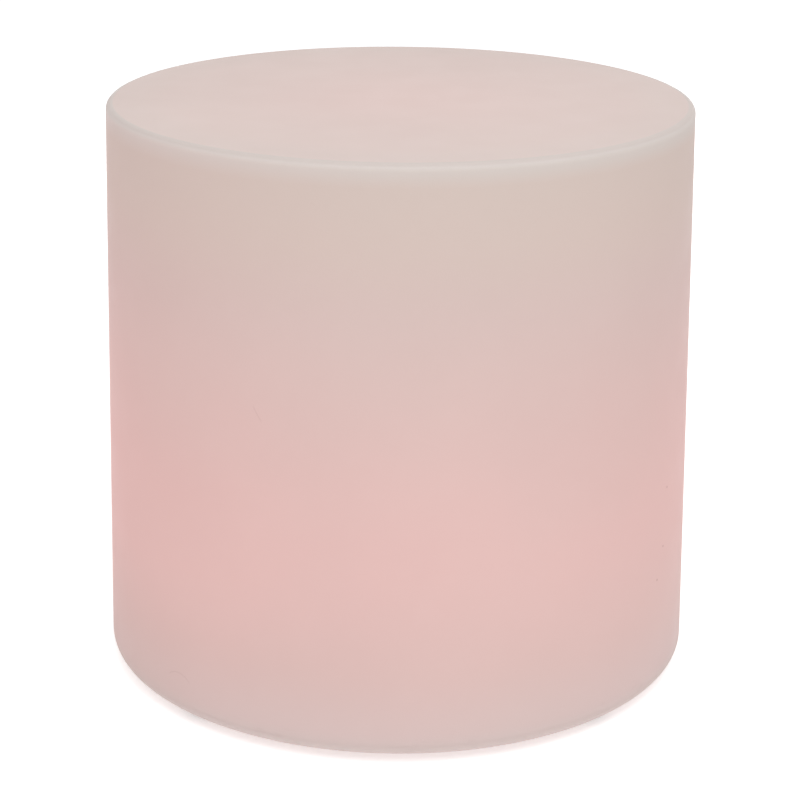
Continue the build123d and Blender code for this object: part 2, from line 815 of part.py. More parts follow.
def make_button_housing():
    """The button's case: a bezel below the plate and a barrel up through it."""
    head_hole = button_head_diameter / 2 + button_slide_fit
    bore = button_shoulder_diameter / 2 + button_slide_fit
    housing = turned([
        (0, bezel_z, 0),
        (bezel_diameter / 2, bezel_z, bezel_edge_radius),
        (bezel_diameter / 2, bezel_top_z, 0),
        (button_barrel_diameter / 2, bezel_top_z, 0),
        (button_barrel_diameter / 2, button_rear_z, 0),
        (0, button_rear_z, 0),
    ])
    housing -= bar(head_hole, bezel_z, bezel_z + button_lip)
    housing -= bar(bore, bezel_z + button_lip, web_z)
    housing -= bar(stem_diameter / 2 + button_slide_fit, web_z, web_top_z)
    housing -= bar(bore, web_top_z, button_rear_z)
    return Pos(button_x, controls_y, 0) * housing


def make_button_cap():
    """The part that is pressed: a head, the shoulder that keeps it in and a stem."""
    low = bezel_z - button_head_proud
    cap = turned([
        (0, low, 0),
        (button_head_diameter / 2, low, button_head_edge_radius),
        (button_head_diameter / 2, shoulder_z, 0),
        (button_shoulder_diameter / 2, shoulder_z, 0),
        (button_shoulder_diameter / 2, shoulder_top_z, 0),
        (stem_diameter / 2, shoulder_top_z, 0),
        (stem_diameter / 2, contact_z, 0),
        (0, contact_z, 0),
    ])
    return Pos(button_x, controls_y, 0) * cap


def make_button_rear_plug():
    """The disc that closes the button's case, with a slot for each tab."""
    radius = button_shoulder_diameter / 2 + button_slide_fit - rear_plug_fit
    plug = bar(radius, rear_plug_z, button_rear_z, button_x, controls_y)
    for x in row(2, lead_pitch, button_x):
        plug -= terminal(x, controls_y, rear_plug_z, button_rear_z, rear_plug_fit)
    return plug


def make_button_spring():
    """The coil that pushes the cap back out, around its stem."""
    low = shoulder_top_z + spring_wire_diameter / 2 + spring_end_gap
    height = web_z - spring_wire_diameter / 2 - spring_end_gap - low
    coil = Helix(height / spring_turns, height, spring_diameter / 2)
    start = Plane(origin=coil @ 0, z_dir=coil % 0)
    wire = sweep(start * Circle(spring_wire_diameter / 2), path=coil, is_frenet=True)
    return Pos(button_x, controls_y, low) * wire


def make_indicator_pipe():
    """The clear rod that brings the charge light down to the plate."""
    rod = bar(pipe_diameter / 2, plate_z - pipe_head_height / 2, board_z - indicator_height - pipe_fit)
    rod += bar(pipe_head_diameter / 2, plate_z - pipe_head_height, plate_z)
    return Pos(0, pipe_y, 0) * rod


def plug_lead(terminal_x, side, rear_z):
    """A lead from a tab straight across to its plug and up into it."""
    x = terminal_x + side * lead_pitch / 2
    z = rear_z + terminal_height / 2
    start_y = controls_y + terminal_thickness / 2
    points = [(x, start_y, z), (x, connector_y, z), (x, connector_y, plug_z)]
    return lead(points, [lead_bend])


def battery_lead(side):
    """A lead from the pack's guard board, around the pack's end and up into its plug."""
    x = battery_connector_x + side * lead_pitch / 2
    start_y = pack_y + side * lead_pitch / 2
    z = plug_z - battery_lead_height
    points = [(pack_end_x, start_y, z), (x, start_y, z), (x, connector_y, z), (x, connector_y, plug_z)]
    return lead(points, [battery_lead_bend, lead_bend])


nodes = {
    "body_shell": make_shell(),
    "shell_inserts": make_inserts(),
    "module_gasket": make_gasket(),
    "module_base": make_base(),
    "module_screws": group([Pos(x, y, plate_z) * module_screw() for x, y in insert_places]),
    "diffuser_dome": make_dome(),
    "dome_seal": make_dome_seal(),
    "dome_screws": screws_down(dome_screw_places, dome_flange_top_z),
    "led_board": make_board(),
    "board_screws": screws_down(post_places, board_top_z),
    "led_emitters": make_leds(),
    "led_gel": make_led_gel(),
    "ir_receiver": make_receiver(),
    "controller_chip": make_chip(),
    "controller_pins": make_chip_pins(),
    "board_transistors": make_transistors(),
    "board_capacitors": make_capacitors(),
    "board_resistors": make_resistors(),
    "board_headers": make_headers(),
    "lead_plugs": make_plugs(),
    "battery_cells": make_cells(),
    "battery_wrap": make_wrap(),
    "battery_tabs": make_tabs(),
    "battery_guard_board": make_guard_board(),
    "battery_foam": make_foam(),
    "battery_clamp": make_clamp(),
    "clamp_screws": screws_down(clamp_places, clamp_foot_z + clamp_thickness),
    "charge_jack": make_jack(),
    "charge_jack_contacts": make_jack_contacts(),
    "charge_jack_nut": hex_nut(
        jack_nut_across_flats,
        jack_nut_thickness,
        jack_barrel_diameter / 2 + thread_fit,
        well_top_z,
        jack_x,
        controls_y,
    ),
    "charge_jack_washer": tube(
        jack_barrel_diameter / 2 + barrel_fit,
        jack_flange_diameter / 2,
        jack_mouth_z + jack_flange_thickness,
        well_roof_z,
        jack_x,
        controls_y,
    ),
    "charge_cover": make_cover(),
    "cover_anchor": make_anchor(),
    "button_housing": make_button_housing(),
    "button_cap": make_button_cap(),
    "button_contact": bar(contact_diameter / 2, contact_z, contact_top_z, button_x, controls_y),
    "button_spring": make_button_spring(),
    "button_rear_plug": make_button_rear_plug(),
    "button_terminals": group([
        terminal(x, controls_y, rear_plug_z, button_rear_z + terminal_height)
        for x in row(2, lead_pitch, button_x)
    ]),
    "button_nut": hex_nut(
        button_nut_across_flats,
        button_nut_thickness,
        button_barrel_diameter / 2 + thread_fit,
        plate_top_z,
        button_x,
        controls_y,
    ),
    "button_washer": tube(
        button_barrel_diameter / 2 + barrel_fit,
        bezel_diameter / 2,
        bezel_top_z,
        plate_z,
        button_x,
        controls_y,
    ),
    "indicator_light_pipe": make_indicator_pipe(),
    "indicator_led": block(
        indicator_length, indicator_width, board_z - indicator_height, board_z, 0, pipe_y
    ),
    "battery_lead_red": battery_lead(1),
    "battery_lead_black": battery_lead(-1),
    "charge_lead_red": plug_lead(jack_x, 1, jack_rear_z),
    "charge_lead_black": plug_lead(jack_x, -1, jack_rear_z),
    "button_lead_blue": plug_lead(button_x, 1, button_rear_z),
    "button_lead_white": plug_lead(button_x, -1, button_rear_z),
}
for number, (x, y) in enumerate(foot_places, 1):
    nodes[f"foot_pad_{number}"] = make_foot(x, y)

os.makedirs("parts", exist_ok=True)
for name, shape in nodes.items():
    export_step(shape, f"parts/{name}.step")
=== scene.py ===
import json
import math

import bmesh
import bpy
from mathutils import Matrix, Vector

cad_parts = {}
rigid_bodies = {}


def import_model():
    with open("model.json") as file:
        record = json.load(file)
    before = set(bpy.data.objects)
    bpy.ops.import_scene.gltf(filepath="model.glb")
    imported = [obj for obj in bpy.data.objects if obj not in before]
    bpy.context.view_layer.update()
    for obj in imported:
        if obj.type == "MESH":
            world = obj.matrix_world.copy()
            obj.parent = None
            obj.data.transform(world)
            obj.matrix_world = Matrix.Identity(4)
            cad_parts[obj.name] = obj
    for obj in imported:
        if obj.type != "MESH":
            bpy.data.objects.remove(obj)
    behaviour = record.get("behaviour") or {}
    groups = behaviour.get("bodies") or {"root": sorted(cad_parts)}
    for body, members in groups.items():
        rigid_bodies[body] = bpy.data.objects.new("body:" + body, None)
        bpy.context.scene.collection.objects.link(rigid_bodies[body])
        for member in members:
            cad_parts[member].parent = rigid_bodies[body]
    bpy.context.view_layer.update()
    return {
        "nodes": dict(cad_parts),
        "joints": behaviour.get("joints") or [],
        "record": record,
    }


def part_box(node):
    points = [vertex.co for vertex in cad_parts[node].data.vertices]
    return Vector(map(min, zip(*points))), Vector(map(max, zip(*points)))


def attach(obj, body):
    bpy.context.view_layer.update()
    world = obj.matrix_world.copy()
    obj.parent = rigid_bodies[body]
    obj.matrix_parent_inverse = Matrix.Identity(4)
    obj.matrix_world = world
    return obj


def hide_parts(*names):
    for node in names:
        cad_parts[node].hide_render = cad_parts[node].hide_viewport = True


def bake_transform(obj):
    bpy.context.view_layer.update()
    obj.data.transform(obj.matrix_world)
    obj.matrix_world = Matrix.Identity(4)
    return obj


# A light-up drum stool. The drum is both the seat and the shade of the lamp unit inside it. The drum's
# skin, the button's spring and the flap's web are made here, and every other piece keeps its solid.

for leftover in list(bpy.data.objects):
    bpy.data.objects.remove(leftover)
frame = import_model()
nodes = frame["nodes"]
scene = bpy.context.scene
scene.view_settings.view_transform = "Standard"


def top_of(node):
    """The height of a piece's top, in metres, to the nearest micrometre."""
    return round(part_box(node)[1].z, 6)


def bottom_of(node):
    """The height of a piece's underside, in metres, to the nearest micrometre."""
    return round(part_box(node)[0].z, 6)


# Drum, in metres
TOP_RADIUS = 0.200
TOP_RINGS = (0.070, 0.140)
BASE_RADIUS = 0.2075
TOP_Z = top_of("body_shell")
RING_Z = bottom_of("body_shell")
WALL = 0.004
TOP_EDGE = 0.0045
BASE_EDGE = 0.011
RECESS_RADIUS = 0.1595
RECESS_EDGE = 0.006
PANEL_Z = top_of("module_gasket")
OPENING_EDGE = 0.0006
INNER_TOP_EDGE = 0.001
SEAL_GAP = 0.0015
EDGE_EASE = 0.0009
EDGE_STEPS = 10
TURN_STEPS = 256
MERGE_WITHIN = 1e-6
SHARP_DEGREES = 35.0

# Holes and bosses in the drum's underside, in metres
INSERT_COUNT = 6
INSERT_RADIUS = 0.0035
INSERT_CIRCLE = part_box("shell_inserts")[1].x - INSERT_RADIUS
INSERT_GAP = 0.00005
INSERT_BORE_RADIUS = INSERT_RADIUS + INSERT_GAP
INSERT_BORE_Z = top_of("shell_inserts") + INSERT_GAP
INSERT_COVER = 0.003
INSERT_BOSS_RADIUS = 0.007
INSERT_BOSS_Z = top_of("shell_inserts") + INSERT_COVER
FOOT_COUNT = 4
FOOT_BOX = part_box("foot_pad_1")
FOOT_CIRCLE = round(((FOOT_BOX[0] + FOOT_BOX[1]) / 2).xy.length, 6)
FOOT_POCKET_RADIUS = 0.01015
FOOT_POCKET_DEPTH = 0.001
FOOT_HOLE_RADIUS = 0.00415
BAR_SIDES = 48
CUT_OVER = 0.0005

# Button spring, in metres
SPRING_WIRE = 0.0005
SPRING_TURNS = 3.5
SPRING_STEPS_PER_TURN = 40
SPRING_WIRE_SIDES = 12
SPRING_MERGE_WITHIN = 1e-7
SPRING_SHARP_DEGREES = 50.0

# Flap web, in metres
WEB_REACH = 0.0015
WEB_Z = next(joint["pos_m"][2] for joint in frame["joints"] if joint["name"] == "charge_flap_swing")
WEB_WIDTH = 0.0134
WEB_THICKNESS = 0.0010
WEB_CUTS = 15
WEB_EDGE = 0.0003
WEB_EDGE_STEPS = 3
WEB_EDGE_ANGLE = 1.0  # radians between two faces that meet at an edge

# Marks on the drum's wall, in metres
SPECK_PLACES = [(0.1821, -0.0952, 0.1105), (0.1782, -0.1032, 0.0887), (0.1834, -0.0910, 0.1522)]
SPECK_RADIUS = 0.0011
SCRATCH_EDGE = (0.000175, 0.000525)
SCRATCH_DEPTH = 0.24
SCRATCH_FADES = 0.7
# A scratch is a stretch of a circle: the circle's middle and radius, then the stretch's middle and
# half its length
SCRATCHES = [
    ((-0.1461, -0.1466, 0.0209), 0.0157, (-0.1461, -0.1466, 0.0366), 0.0130),
    ((-0.0508, -0.2012, 0.2613), 0.0500, (-0.0887, -0.1827, 0.2347), 0.0065),
]

# Colours of the drum, with a painted light that makes it paler near the base, and how much wear and
# marks cover them
WALL_TINT = (0.641, 0.570, 0.532, 1.0)
BASE_LIT_TINT = (0.662, 0.601, 0.573, 1.0)
RUBBED_TINT = (0.42, 0.36, 0.33, 1.0)
RUBBED_SHARE = 0.15
RUBBED_DULLS = 0.2
MARK_TINT = (0.22, 0.16, 0.14, 1.0)
MARK_SHARE = 0.5
DRUM_ROUGHNESS = (0.46, 0.54)
DRUM_GLOSS = 0.06

# Painted light at the top corner, a paler lit band with a painted highlight line in it, by the share of
# the way up its band. The first tint is also the painted light on the upper wall
CORNER_HIGHLIGHT_TINTS = [
    (0.36, (0.658, 0.586, 0.532)),
    (0.76, (0.694, 0.633, 0.592)),
    (0.83, (0.708, 0.650, 0.608)),
    (0.90, (0.686, 0.631, 0.597)),
    (0.95, (0.632, 0.568, 0.535)),
]

# Heights on the drum over which its tint, its painted light and its wear change, in metres
WALL_PAINTED_LIGHT_RISES = (0.290, 0.360)
CORNER_HIGHLIGHT_BAND = (TOP_Z - 0.024, TOP_Z)
BASE_LIGHTENS = (0.012, 0.070)
BASE_RUBBED = (0.006, 0.030)

# Light that comes through the drum, and a pale painted light that lifts the shade on the underside and
# the base edge
NO_GLOW = (0.0, 0.0, 0.0, 1.0)
LAMP_GLOW = (0.200, 0.002, 0.009, 1.0)
UNDERSIDE_PAINTED_LIGHT = (0.175, 0.110, 0.106, 1.0)
LIP_PAINTED_LIGHT = (0.155, 0.104, 0.104, 1.0)

# Heights over which the lamp's glow and the pale painted light below change, in metres
GLOW_RISES = (-0.100, 0.150)
GLOW_FADES = (0.120, 0.420)
GLOW_DIMS_AT_FOOT = (0.004, 0.024)
GLOW_DIMS_AT_CORNER = (TOP_Z - 0.016, TOP_Z - 0.005)
GLOW_TURNS_TO_TOP = (TOP_Z - 0.005, TOP_Z)
GLOW_LEAVES_UNDERSIDE = (PANEL_Z, 0.060)
GLOW_LEAVES_LIP = (0.007, 0.0152)

# Distances from the drum's middle line over which the glow and the pale painted light below change, in
# metres
CORNER_STARTS = (TOP_RADIUS - TOP_EDGE - 0.001, TOP_RADIUS - TOP_EDGE + 0.0005)
TOP_GLOW_SPREADS = (0.0, 0.170)
TOP_GLOW_ENDS = (0.150, 0.190)
UNDERSIDE_ENDS = (0.190, 0.207)
LIP_STARTS = (0.1965, 0.2015)

# Places from left to right over which painted light and shade from one side change the drum's tint and
# glow, in metres
BASE_LIGHT_ACROSS = (-0.2, -0.1)
GLOW_LEFT_ACROSS = (-0.13, 0.0)
GLOW_AT_CORNER_ACROSS = (-0.2, 0.1)
GLOW_PAINTED_SIDES = (-0.2, 0.2)

# Shares of the tint, the painted light and the glow at the two ends of such a change, or at the end
# where it is weaker
BASE_LIGHT_SHARES = (0.4, 1.0)
GLOW_LEFT_SHARES = (0.30, 0.22)
GLOW_AT_CORNER_SHARES = (0.85, 0.40)
GLOW_PAINTED_SIDE_SHARES = (1.05, 0.92)
GLOW_UNEVEN_SHARES = (0.97, 1.03)
GLOW_AT_FOOT_SHARE = 0.45
TOP_GLOW_SHARES = (0.425, 0.276)
TOP_RIM_SHARE = 0.75
TOP_CORNER_SHARE = 0.2

# Patterns that several finishes share
NOISE_SPAN = (0.3, 0.7)  # most of a noise lies between these
SPECK_LEAST = 0.4
SPECK_CORE = 0.4  # share of a speck's radius that is fully dark
SCUFF_STARTS = 0.75
SCUFF_SPREAD = 0.3
SCUFF_EDGE = 0.14

# Wear and gloss of the small pieces
DUST = (0.16, 0.155, 0.15)
DIRT_TINT = (0.10, 0.09, 0.08, 1.0)
DIRT_SHARE = 0.4
SCUFF_SHARE = 0.35
SCUFF_DULLS = 0.1
DULL_SPREAD = 0.05
WORN_SLEEVE = (0.10, 0.18, 0.36)
WORN_FLAP = (0.24, 0.24, 0.24)
TOOL_LINE_TINT = (0.3, 0.29, 0.28, 1.0)
TOOL_LINE_SHARE = 0.2
TOOL_LINE_DULLS = 0.15
FROST_SPREAD = 0.15
CLEAR_IOR = 1.58
GEL_TINT = (0.9, 0.45, 0.38, 1.0)
GEL_GLOW = (1.0, 0.3, 0.26, 1.0)
GEL_ROUGHNESS = 0.15

# Copper runs on the boards, in metres, and the noise at which they break off
RUN_SPACING = 0.0022
RUN_EDGE = (0.00025, 0.0003)
RUN_BREAKS = (0.46, 0.48)
RUN_SHARE = 0.5
BOARD_ROUGHNESS = 0.28
RUN_ROUGHNESS = 0.22

# Camera, in front of the drum and above it
CAMERA_PLACE = (0.00126, -1.52091, 0.70662)
CAMERA_PITCH = 0.33232
CAMERA_ROLL = 0.00857
CAMERA_LENS = 101.39
CAMERA_FRAME = 36.0
CAMERA_SEES_TO = 50.0

# Floor and room
FLOOR_RADIUS = 9.0
FLOOR_SIDES = 96
FLOOR_TINT = (0.9, 0.9, 0.9, 1.0)
FLOOR_LIFT = 0.45
UNDER_DRUM = 0.18  # the part of the floor that the drum hides, from its middle
ROOM_TINT = (1.0, 1.0, 1.0, 1.0)
ROOM_LIGHT = 0.670

# Softboxes: name, place, aim, width and depth in metres, and power in watts
SOFTBOXES = [
    ("softbox_above", (0.4, -0.6, 2.3), (0.0, 0.0, 0.3), 1.8, 1.8, 11.7),
    ("softbox_front", (0.15, -1.5, 1.5), (0.0, -0.1, 0.3), 1.0, 1.0, 5.9),
    ("softbox_left", (-1.6, -0.3, 1.6), (0.0, 0.0, 0.3), 1.0, 1.0, 1.0),
    ("softbox_back", (0.1, 1.9, 0.3), (0.0, 0.0, 0.25), 1.4, 0.4, 5.5),
]


# Node helpers

def add_node(tree, kind, **settings):
    """A node of a kind, with its properties set by name."""
    node = tree.nodes.new(kind)
    for name, value in settings.items():
        setattr(node, name, value)
    return node


def feed(tree, value, socket):
    """Links a socket to another, or sets it to a plain value."""
    if isinstance(value, bpy.types.NodeSocket):
        tree.links.new(value, socket)
    else:
        socket.default_value = value


def maths(tree, operation, a, b=0.0):
    node = add_node(tree, "ShaderNodeMath", operation=operation)
    feed(tree, a, node.inputs[0])
    feed(tree, b, node.inputs[1])
    return node.outputs[0]


def times(tree, *values):
    """The product of two or more values."""
    product = values[0]
    for value in values[1:]:
        product = maths(tree, "MULTIPLY", product, value)
    return product


def ramp(tree, value, low, high, start=0.0, end=1.0, kind="SMOOTHSTEP"):
    """Takes a value from low to high onto start to end."""
    node = add_node(tree, "ShaderNodeMapRange", interpolation_type=kind)
    feed(tree, value, node.inputs["Value"])
    feed(tree, low, node.inputs["From Min"])
    feed(tree, high, node.inputs["From Max"])
    feed(tree, start, node.inputs["To Min"])
    feed(tree, end, node.inputs["To Max"])
    return node.outputs["Result"]


def mix(tree, share, first, second, mode="MIX"):
    """Two colours mixed by a share."""
    node = add_node(tree, "ShaderNodeMix", data_type="RGBA", blend_type=mode)
    feed(tree, share, node.inputs[0])
    feed(tree, first, node.inputs[6])
    feed(tree, second, node.inputs[7])
    return node.outputs[2]


def graded(tree, value, stops):
    """A colour that goes through stops of a value from 0 to 1."""
    node = add_node(tree, "ShaderNodeValToRGB")
    elements = node.color_ramp.elements
    while len(elements) < len(stops):
        elements.new(0.5)
    for element, (at, colour) in zip(elements, stops):
        element.position = at
        element.color = (*colour, 1.0)
    feed(tree, value, node.inputs["Fac"])
    return node.outputs["Color"]


def noise(tree, place, scale, detail=2.0, roughness=0.5):
    node = add_node(tree, "ShaderNodeTexNoise")
    feed(tree, place, node.inputs["Vector"])
    feed(tree, scale, node.inputs["Scale"])
    node.inputs["Detail"].default_value = detail
    node.inputs["Roughness"].default_value = roughness
    return node.outputs["Fac"]


def distance_to(tree, place, point):
    """How far the place is from a fixed point."""
    node = add_node(tree, "ShaderNodeVectorMath", operation="DISTANCE")
    feed(tree, place, node.inputs[0])
    node.inputs[1].default_value = point
    return node.outputs["Value"]


def reach_from_middle(tree, place):
    """How far the place is from the upright line through the drum's middle."""
    flat = add_node(tree, "ShaderNodeVectorMath", operation="MULTIPLY")
    feed(tree, place, flat.inputs[0])
    flat.inputs[1].default_value = (1.0, 1.0, 0.0)
    return distance_to(tree, flat.outputs[0], (0.0, 0.0, 0.0))


def new_group(name, inputs, outputs):
    """An empty shader node group with named sockets."""
    group = bpy.data.node_groups.new(name, "ShaderNodeTree")
    for label, kind in inputs:
        group.interface.new_socket(label, in_out="INPUT", socket_type="NodeSocket" + kind)
    for label, kind in outputs:
        group.interface.new_socket(label, in_out="OUTPUT", socket_type="NodeSocket" + kind)
    given = group.nodes.new("NodeGroupInput").outputs
    result = group.nodes.new("NodeGroupOutput").inputs
    return group, given, result


def place_group(tree, group, **values):
    """Puts a group in a material with its inputs set by name, and gives its one output."""
    node = add_node(tree, "ShaderNodeGroup", node_tree=group)
    for name, value in values.items():
        feed(tree, value, node.inputs[name])
    return node.outputs[0]


# Effects that several materials share

def make_stipple():
    """The fine grain of a moulded surface, with a slow waviness under it."""
    inputs = [("place", "Vector"), ("grain", "Float"), ("wave", "Float"), ("wave_share", "Float")]
    group, given, result = new_group("stipple", inputs, [("height", "Float")])
    fine = noise(group, given["place"], given["grain"], detail=3.0, roughness=0.6)
    slow = noise(group, given["place"], given["wave"], detail=1.0, roughness=0.4)
    height = maths(group, "ADD", fine, times(group, slow, given["wave_share"]))
    feed(group, height, result["height"])
    return group


def make_clouds():
    """A colour with slow lighter and darker clouds in it."""
    inputs = [("place", "Vector"), ("tint", "Color"), ("scale", "Float"), ("amount", "Float")]
    group, given, result = new_group("clouds", inputs, [("tint", "Color")])
    cloud = noise(group, given["place"], given["scale"], detail=3.0, roughness=0.55)
    low = maths(group, "SUBTRACT", 1.0, given["amount"])
    high = maths(group, "ADD", 1.0, given["amount"])
    level = ramp(group, cloud, *NOISE_SPAN, low, high)
    grey = add_node(group, "ShaderNodeCombineColor")
    for channel in grey.inputs:
        feed(group, level, channel)
    feed(group, mix(group, 1.0, given["tint"], grey.outputs[0], "MULTIPLY"), result["tint"])
    return group


def make_specks():
    """Sparse small specks in the moulding. The share is that of the cells that have one."""
    inputs = [("place", "Vector"), ("scale", "Float"), ("size", "Float"), ("share", "Float")]
    group, given, result = new_group("specks", inputs, [("mask", "Float")])
    cells = add_node(group, "ShaderNodeTexVoronoi", feature="F1")
    feed(group, given["place"], cells.inputs["Vector"])
    feed(group, given["scale"], cells.inputs["Scale"])
    draw = add_node(group, "ShaderNodeSeparateColor")
    feed(group, cells.outputs["Color"], draw.inputs[0])
    chosen = maths(group, "LESS_THAN", draw.outputs[0], given["share"])
    size = times(group, given["size"], maths(group, "ADD", draw.outputs[1], SPECK_LEAST))
    spot = ramp(group, cells.outputs["Distance"], times(group, size, SPECK_CORE), size, 1.0, 0.0)
    feed(group, times(group, chosen, spot), result["mask"])
    return group


def make_scuffs():
    """Rubbed streaks. The stretch squeezes them along each axis."""
    inputs = [("place", "Vector"), ("stretch", "Vector"), ("scale", "Float"), ("share", "Float")]
    group, given, result = new_group("scuffs", inputs, [("mask", "Float")])
    drawn = add_node(group, "ShaderNodeVectorMath", operation="MULTIPLY")
    feed(group, given["place"], drawn.inputs[0])
    feed(group, given["stretch"], drawn.inputs[1])
    streak = noise(group, drawn.outputs[0], given["scale"], detail=4.0, roughness=0.65)
    low = maths(group, "SUBTRACT", SCUFF_STARTS, times(group, given["share"], SCUFF_SPREAD))
    feed(group, ramp(group, streak, low, maths(group, "ADD", low, SCUFF_EDGE)), result["mask"])
    return group


stipple = make_stipple()
clouds = make_clouds()
specks = make_specks()
scuffs = make_scuffs()


# Materials

def new_material(name):
    """A material with one Principled BSDF, and the place that its patterns read."""
    material = bpy.data.materials.new(name)
    material.use_nodes = True
    tree = material.node_tree
    place = add_node(tree, "ShaderNodeTexCoord").outputs["Object"]
    return material, tree, tree.nodes["Principled BSDF"].inputs, place


def raise_surface(tree, shader, height, strength, distance):
    """Feeds a height to the shader as bump."""
    bump = add_node(tree, "ShaderNodeBump")
    bump.inputs["Strength"].default_value = strength
    bump.inputs["Distance"].default_value = distance
    feed(tree, height, bump.inputs["Height"])
    feed(tree, bump.outputs["Normal"], shader["Normal"])


def wall_marks(tree, place):
    """A few dark specks and two hair-fine scratches on the drum's wall."""
    mask = place_group(tree, specks, place=place, scale=22.0, size=0.012, share=0.10)
    for point in SPECK_PLACES:
        off_point = distance_to(tree, place, point)
        spot = ramp(tree, off_point, SPECK_RADIUS * SPECK_CORE, SPECK_RADIUS, 1.0, 0.0)
        mask = maths(tree, "MAXIMUM", mask, spot)
    for middle, radius, stretch, half_length in SCRATCHES:
        off_circle = maths(tree, "SUBTRACT", distance_to(tree, place, middle), radius)
        off_circle = maths(tree, "ABSOLUTE", off_circle)
        line = ramp(tree, off_circle, *SCRATCH_EDGE, SCRATCH_DEPTH, 0.0)
        off_stretch = distance_to(tree, place, stretch)
        near = ramp(tree, off_stretch, half_length * SCRATCH_FADES, half_length, 1.0, 0.0)
        mask = maths(tree, "MAXIMUM", mask, times(tree, line, near))
    return mask


def drum_colour_and_painted_light(tree, place, height, across, outer, wear):
    """The drum's own colour, with painted light: a paler lit band and a painted highlight line at the
    top corner, and paler near the base, least so on the left. Rubbed and marked in places.
    """
    tint = place_group(tree, clouds, place=place, tint=WALL_TINT, scale=7.0, amount=0.012)
    # Painted light: the upper wall turns paler towards the top corner, whose band carries a painted
    # highlight line
    lit_upper_wall = times(tree, ramp(tree, height, *WALL_PAINTED_LIGHT_RISES), outer)
    up_highlight_band = ramp(tree, height, *CORNER_HIGHLIGHT_BAND, kind="LINEAR")
    tint = mix(tree, lit_upper_wall, tint, graded(tree, up_highlight_band, CORNER_HIGHLIGHT_TINTS))
    # Painted light: paler near the base to lift its shade, and less so on the left, which keeps painted
    # shade there
    low = ramp(tree, height, *BASE_LIGHTENS, 1.0, 0.0)
    painted_base_light = times(tree, low, ramp(tree, across, *BASE_LIGHT_ACROSS, *BASE_LIGHT_SHARES))
    tint = mix(tree, painted_base_light, tint, BASE_LIT_TINT)
    tint = mix(tree, times(tree, wear, RUBBED_SHARE), tint, RUBBED_TINT)
    return mix(tree, times(tree, wall_marks(tree, place), MARK_SHARE), tint, MARK_TINT)


def wall_glow(tree, place, height, across, outer):
    """How much of the lamp's light comes through the wall at each place, with painted light that makes
    it stronger on the left.
    """
    rising = ramp(tree, height, *GLOW_RISES)
    # Painted light from one side: the shares across the drum make the glow stronger on the left than on
    # the right
    left_over = ramp(tree, across, *GLOW_LEFT_ACROSS, *GLOW_LEFT_SHARES)
    fading = ramp(tree, height, *GLOW_FADES, 1.0, left_over)
    at_foot = ramp(tree, height, *GLOW_DIMS_AT_FOOT, GLOW_AT_FOOT_SHARE, 1.0)
    in_corner = times(tree, ramp(tree, height, *GLOW_DIMS_AT_CORNER), outer)
    corner_share = ramp(tree, across, *GLOW_AT_CORNER_ACROSS, *GLOW_AT_CORNER_SHARES)
    at_corner = ramp(tree, in_corner, 0.0, 1.0, 1.0, corner_share, "LINEAR")
    uneven = ramp(tree, noise(tree, place, scale=9.0), *NOISE_SPAN, *GLOW_UNEVEN_SHARES)
    painted_side_light = ramp(tree, across, *GLOW_PAINTED_SIDES, *GLOW_PAINTED_SIDE_SHARES, "LINEAR")
    return times(tree, rising, fading, at_foot, at_corner, uneven, painted_side_light)


def drum_glow(tree, place, height, across, reach, outer):
    """The colour of the light that comes through the drum, pink on the wall and top, and a pale painted
    light that lifts the shade of the underside and the base edge.
    """
    wall = wall_glow(tree, place, height, across, outer)
    middle = ramp(tree, reach, *TOP_GLOW_SPREADS, *TOP_GLOW_SHARES)
    on_corner = ramp(tree, outer, 0.0, 1.0, 1.0, TOP_CORNER_SHARE, "LINEAR")
    at_rim = ramp(tree, reach, *TOP_GLOW_ENDS, 1.0, TOP_RIM_SHARE)
    top = times(tree, middle, at_rim, on_corner)
    level = ramp(tree, ramp(tree, height, *GLOW_TURNS_TO_TOP), 0.0, 1.0, wall, top, "LINEAR")
    glow = mix(tree, level, NO_GLOW, LAMP_GLOW)
    # Painted light: a pale light on the underside and on the base edge that lifts their shade
    low = ramp(tree, height, *GLOW_LEAVES_UNDERSIDE, 1.0, 0.0)
    underside = times(tree, low, ramp(tree, reach, *UNDERSIDE_ENDS, 1.0, 0.0))
    glow = mix(tree, underside, glow, UNDERSIDE_PAINTED_LIGHT)
    at_base = ramp(tree, height, *GLOW_LEAVES_LIP, 1.0, 0.0)
    lip = times(tree, at_base, ramp(tree, reach, *LIP_STARTS))
    return mix(tree, lip, glow, LIP_PAINTED_LIGHT)


def drum_polythene():
    """Frosted white polythene, lit from inside by a pink lamp low in the drum, with painted light at
    its top corner, base and underside.
    """
    material, tree, shader, place = new_material("drum_polythene")
    axes = add_node(tree, "ShaderNodeSeparateXYZ")
    feed(tree, place, axes.inputs[0])
    across, height = axes.outputs["X"], axes.outputs["Z"]
    reach = reach_from_middle(tree, place)
    outer = ramp(tree, reach, *CORNER_STARTS)
    rubbed = place_group(tree, scuffs, place=place, stretch=(1.0, 1.0, 5.0), scale=45.0, share=0.6)
    wear = times(tree, rubbed, ramp(tree, height, *BASE_RUBBED, 1.0, 0.0))
    feed(tree, drum_colour_and_painted_light(tree, place, height, across, outer, wear), shader["Base Color"])
    dull = ramp(tree, noise(tree, place, scale=30.0, detail=3.0), *NOISE_SPAN, *DRUM_ROUGHNESS)
    feed(tree, maths(tree, "ADD", dull, times(tree, wear, RUBBED_DULLS)), shader["Roughness"])
    feed(tree, drum_glow(tree, place, height, across, reach, outer), shader["Emission Color"])
    shader["Emission Strength"].default_value = 1.0
    shader["Specular IOR Level"].default_value = DRUM_GLOSS
    grain = place_group(tree, stipple, place=place, grain=700.0, wave=14.0, wave_share=1.2)
    raise_surface(tree, shader, grain, strength=0.10, distance=0.0006)
    return material


